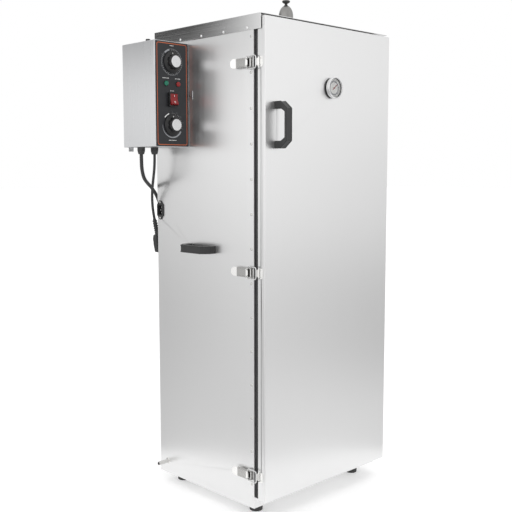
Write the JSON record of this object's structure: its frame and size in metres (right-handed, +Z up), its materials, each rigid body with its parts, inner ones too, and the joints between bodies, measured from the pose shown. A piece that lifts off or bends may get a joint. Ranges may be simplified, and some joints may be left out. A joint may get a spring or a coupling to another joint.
{
  "type": "electric cabinet smoker",
  "caption": "Tall insulated steel smoking cabinet with a hinged door, toggle latches, wire racks, an electric heater and a side-hung control box with dials, lamps and a rocker switch.",
  "frame": {"origin": "on the floor, under the middle of the cabinet body's footprint", "axes": "+X to the right along the closed door, +Y towards the back, +Z up; the door faces -Y and its hinges are at +X"},
  "size_m": [0.5686, 0.5666, 1.253],
  "materials": {
    "stainless_shell": "brushed satin stainless sheet",
    "stainless_liner": "dull stainless sheet",
    "fastener_steel": "plain steel",
    "chrome_wire": "bright plated wire",
    "latch_steel": "polished pressed steel",
    "bezel_chrome": "polished",
    "heater_steel": "heat-darkened steel",
    "mineral_wool": "loose fibre",
    "seal_rubber": "matte black",
    "foot_rubber": "matte black",
    "handle_plastic": "matte black moulding",
    "knob_plastic": "glossy black moulding",
    "cap_aluminium": "turned, satin",
    "panel_overlay": "black overlay with an orange border line",
    "switch_plastic": "black moulding",
    "rocker_red": "translucent red moulding",
    "lamp_lens": "translucent lens",
    "inner_device": "pale moulding",
    "inlet_plastic": "black moulding",
    "gland_nylon": "black nylon",
    "cord_rubber": "matte black jacket",
    "plug_rubber": "black moulding",
    "strap": "black woven strap",
    "dial_face": "pale printed dial",
    "needle_paint": "red paint",
    "damper_knob_plastic": "glossy black moulding"
  },
  "bodies": {
    "cabinet": {"left_side_panel": "stainless_shell", "right_side_panel": "stainless_shell", "back_panel": "stainless_shell", "base_pan": "stainless_shell", "top_lid": "stainless_shell", "front_frame": "stainless_shell", "inner_liner": "stainless_liner", "body_insulation": "mineral_wool", "rack_guides": "stainless_liner", "wire_racks": "chrome_wire", "heating_element": "heater_steel", "chip_tray": "stainless_liner", "drip_tray": "stainless_liner", "sensor_bulb": "fastener_steel", "feet": "foot_rubber", "body_screws": "fastener_steel", "side_handle": "handle_plastic", "power_inlet": "inlet_plastic", "drain_spout": "fastener_steel", "vent_pipe": "stainless_shell", "control_box_shell": "stainless_shell", "control_panel": "panel_overlay", "timer_body": "inner_device", "thermostat_body": "inner_device", "switch_body": "switch_plastic", "indicator_lamps": "lamp_lens", "latch_bases": "latch_steel", "hinge_frame_leaves": "fastener_steel", "hinge_pins": "fastener_steel", "cable_glands": "gland_nylon", "power_cord": "cord_rubber", "cord_coil": "cord_rubber", "cord_tie": "strap", "power_plug": "plug_rubber", "heater_lead": "cord_rubber", "heater_connector": "plug_rubber"},
    "door": {"door_outer_pan": "stainless_shell", "door_inner_panel": "stainless_liner", "door_insulation": "mineral_wool", "door_gasket": "seal_rubber", "door_handle": "handle_plastic", "door_screws": "fastener_steel", "latch_catches": "latch_steel", "hinge_door_leaves": "fastener_steel", "thermometer_case": "bezel_chrome", "thermometer_dial": "dial_face"},
    "needle": {"thermometer_needle": "needle_paint"},
    "damper": {"damper_cap": "stainless_shell", "damper_knob": "damper_knob_plastic"},
    "rocker": {"switch_rocker": "rocker_red"},
    "timer_knob": {"timer_knob": "knob_plastic", "timer_knob_cap": "cap_aluminium"},
    "thermostat_knob": {"thermostat_knob": "knob_plastic", "thermostat_knob_cap": "cap_aluminium"},
    "lever_lower": {"latch_lever_lower": "latch_steel"},
    "bail_lower": {"latch_bail_lower": "chrome_wire"},
    "lever_middle": {"latch_lever_middle": "latch_steel"},
    "bail_middle": {"latch_bail_middle": "chrome_wire"},
    "lever_upper": {"latch_lever_upper": "latch_steel"},
    "bail_upper": {"latch_bail_upper": "chrome_wire"}
  },
  "joints": [
    {"name": "door_swing", "type": "hinge", "parent": "cabinet", "child": "door", "pos_m": [0.2325, -0.1862, 0.608], "axis": [0, 0, 1], "range_deg": [0, 180]},
    {"name": "needle_turn", "type": "hinge", "parent": "door", "child": "needle", "pos_m": [0, -0.223, 1.0244], "axis": [0, 1, 0], "range_deg": [-100, 170], "stiffness_Nm_per_rad": 0.0004},
    {"name": "damper_turn", "type": "hinge", "parent": "cabinet", "child": "damper", "pos_m": [0, -0.062, 1.213], "axis": [0, 0, 1], "range_deg": [0, 60]},
    {"name": "rocker_tilt", "type": "hinge", "parent": "cabinet", "child": "rocker", "pos_m": [-0.2798, 0.0457, 0.997], "axis": [1, 0, 0], "range_deg": [0, 20]},
    {"name": "timer_turn", "type": "hinge", "parent": "cabinet", "child": "timer_knob", "pos_m": [-0.2798, 0.04, 1.0861], "axis": [0, 1, 0], "range_deg": [0, 300]},
    {"name": "thermostat_turn", "type": "hinge", "parent": "cabinet", "child": "thermostat_knob", "pos_m": [-0.2798, 0.04, 0.9365], "axis": [0, 1, 0], "range_deg": [0, 290]},
    {"name": "lever_swing_lower", "type": "hinge", "parent": "cabinet", "child": "lever_lower", "pos_m": [-0.232, -0.174, 0.108], "axis": [0, 0, 1], "range_deg": [0, 120]},
    {"name": "bail_swing_lower", "type": "hinge", "parent": "lever_lower", "child": "bail_lower", "pos_m": [-0.2336, -0.165, 0.108], "axis": [0, 0, 1], "range_deg": [-150, 0]},
    {"name": "lever_swing_middle", "type": "hinge", "parent": "cabinet", "child": "lever_middle", "pos_m": [-0.232, -0.174, 0.592], "axis": [0, 0, 1], "range_deg": [0, 120]},
    {"name": "bail_swing_middle", "type": "hinge", "parent": "lever_middle", "child": "bail_middle", "pos_m": [-0.2336, -0.165, 0.592], "axis": [0, 0, 1], "range_deg": [-150, 0]},
    {"name": "lever_swing_upper", "type": "hinge", "parent": "cabinet", "child": "lever_upper", "pos_m": [-0.232, -0.174, 1.0695], "axis": [0, 0, 1], "range_deg": [0, 120]},
    {"name": "bail_swing_upper", "type": "hinge", "parent": "lever_upper", "child": "bail_upper", "pos_m": [-0.2336, -0.165, 1.0695], "axis": [0, 0, 1], "range_deg": [-150, 0]}
  ],
  "couplings": [
    {"joint": "bail_swing_lower", "follows": "lever_swing_lower", "ratio": -1.25},
    {"joint": "bail_swing_middle", "follows": "lever_swing_middle", "ratio": -1.25},
    {"joint": "bail_swing_upper", "follows": "lever_swing_upper", "ratio": -1.25}
  ]
}
